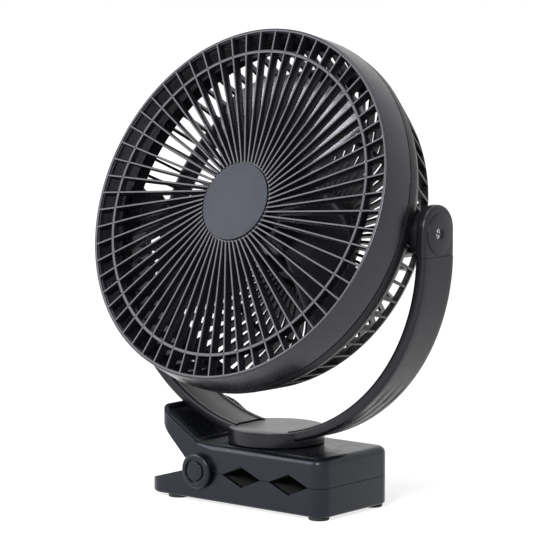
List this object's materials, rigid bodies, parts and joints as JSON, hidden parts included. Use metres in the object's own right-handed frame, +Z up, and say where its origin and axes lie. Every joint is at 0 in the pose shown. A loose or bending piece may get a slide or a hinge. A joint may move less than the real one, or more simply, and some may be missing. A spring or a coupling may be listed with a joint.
{
  "type": "portable camping fan",
  "caption": "Clip-on camping fan: a caged head that tilts in a U-shaped yoke, which swivels on a spring clamp that also stands on a table.",
  "frame": {"origin": "on the swivel axis, at the plane of the feet's bottoms", "axes": "+Z up along the swivel axis, -Y the way the fan faces, +X towards the clamp's mouth"},
  "size_m": [0.236, 0.1344, 0.2785],
  "materials": {
    "shell_plastic": "fine satin texture",
    "dark_plastic": "satin",
    "badge_plastic": "satin",
    "liner_plastic": "smooth",
    "cover_plastic": "smooth",
    "blade_plastic": "gloss",
    "button_plastic": "satin",
    "pad_rubber": "matt",
    "screw_steel": "brushed",
    "spring_steel": "drawn wire",
    "bush_brass": "turned",
    "board_plastic": "satin",
    "battery_foil": "soft foil",
    "magnet_ferrite": "matt",
    "rotor_copper": "wound",
    "lens_plastic": "clear",
    "lead_rubber": "smooth"
  },
  "bodies": {
    "root": {"lower_jaw": "shell_plastic", "lower_grip_plate": "dark_plastic", "lower_jaw_pad": "pad_rubber", "lower_plate_screws": "screw_steel", "rubber_feet": "pad_rubber", "hinge_pin": "screw_steel", "hinge_cap_front": "dark_plastic", "hinge_cap_rear": "dark_plastic", "spring_lower_half": "spring_steel", "battery_pack": "battery_foil", "battery_foam": "pad_rubber", "protection_board": "board_plastic"},
    "upper_jaw": {"upper_jaw": "shell_plastic", "upper_grip_plate": "dark_plastic", "upper_jaw_pad": "pad_rubber", "upper_plate_screws": "screw_steel", "spring_upper_half": "spring_steel", "swivel_bush": "bush_brass"},
    "yoke": {"yoke_frame": "shell_plastic", "yoke_liner_left": "liner_plastic", "yoke_liner_right": "liner_plastic", "hub_cover": "cover_plastic", "arm_cap_left": "shell_plastic", "arm_cap_right": "shell_plastic", "swivel_bolt": "screw_steel", "swivel_washer": "screw_steel", "swivel_nut": "screw_steel", "friction_disc": "pad_rubber", "tilt_bush_left": "bush_brass", "tilt_bush_right": "bush_brass", "yoke_lead": "lead_rubber"},
    "head": {"front_grille": "shell_plastic", "hub_badge": "badge_plastic", "rear_grille": "shell_plastic", "motor_housing": "dark_plastic", "rear_cover": "shell_plastic", "motor_can": "screw_steel", "motor_magnets": "magnet_ferrite", "front_bearing": "bush_brass", "rear_bearing": "bush_brass", "motor_screws": "screw_steel", "motor_leads": "rotor_copper", "control_board": "board_plastic", "charging_port": "screw_steel", "tact_switch": "dark_plastic", "indicator_lenses": "lens_plastic", "cover_screws_rear": "screw_steel", "tilt_screws": "screw_steel", "tilt_washers": "screw_steel", "trunnion_inserts": "bush_brass"},
    "impeller": {"impeller": "blade_plastic", "motor_shaft": "screw_steel", "rotor_core": "rotor_copper", "impeller_nut": "screw_steel"},
    "power_button": {"power_button": "button_plastic"}
  },
  "joints": [
    {"name": "jaw_hinge", "type": "hinge", "parent": "root", "child": "upper_jaw", "pos_m": [-0.0321, 0, 0.0195], "axis": [0, -1, 0], "range_deg": [0, 30], "stiffness_Nm_per_rad": 0.8, "springref_deg": -51.57},
    {"name": "yoke_swivel", "type": "hinge", "parent": "upper_jaw", "child": "yoke", "pos_m": [0, 0, 0.036], "axis": [0, 0, 1], "range_deg": [-170, 170]},
    {"name": "head_tilt", "type": "hinge", "parent": "yoke", "child": "head", "pos_m": [0, 0, 0.1661], "axis": [-1, 0, 0], "range_deg": [-111, 69]},
    {"name": "impeller_spin", "type": "hinge", "parent": "head", "child": "impeller", "pos_m": [0, 0, 0.1661], "axis": [0, -0.9336, 0.3584], "continuous": true},
    {"name": "power_button_press", "type": "slide", "parent": "head", "child": "power_button", "axis": [0, -0.9336, 0.3584], "range_m": [0, 0.0006], "stiffness_N_per_m": 400, "springref_m": -0.001}
  ]
}
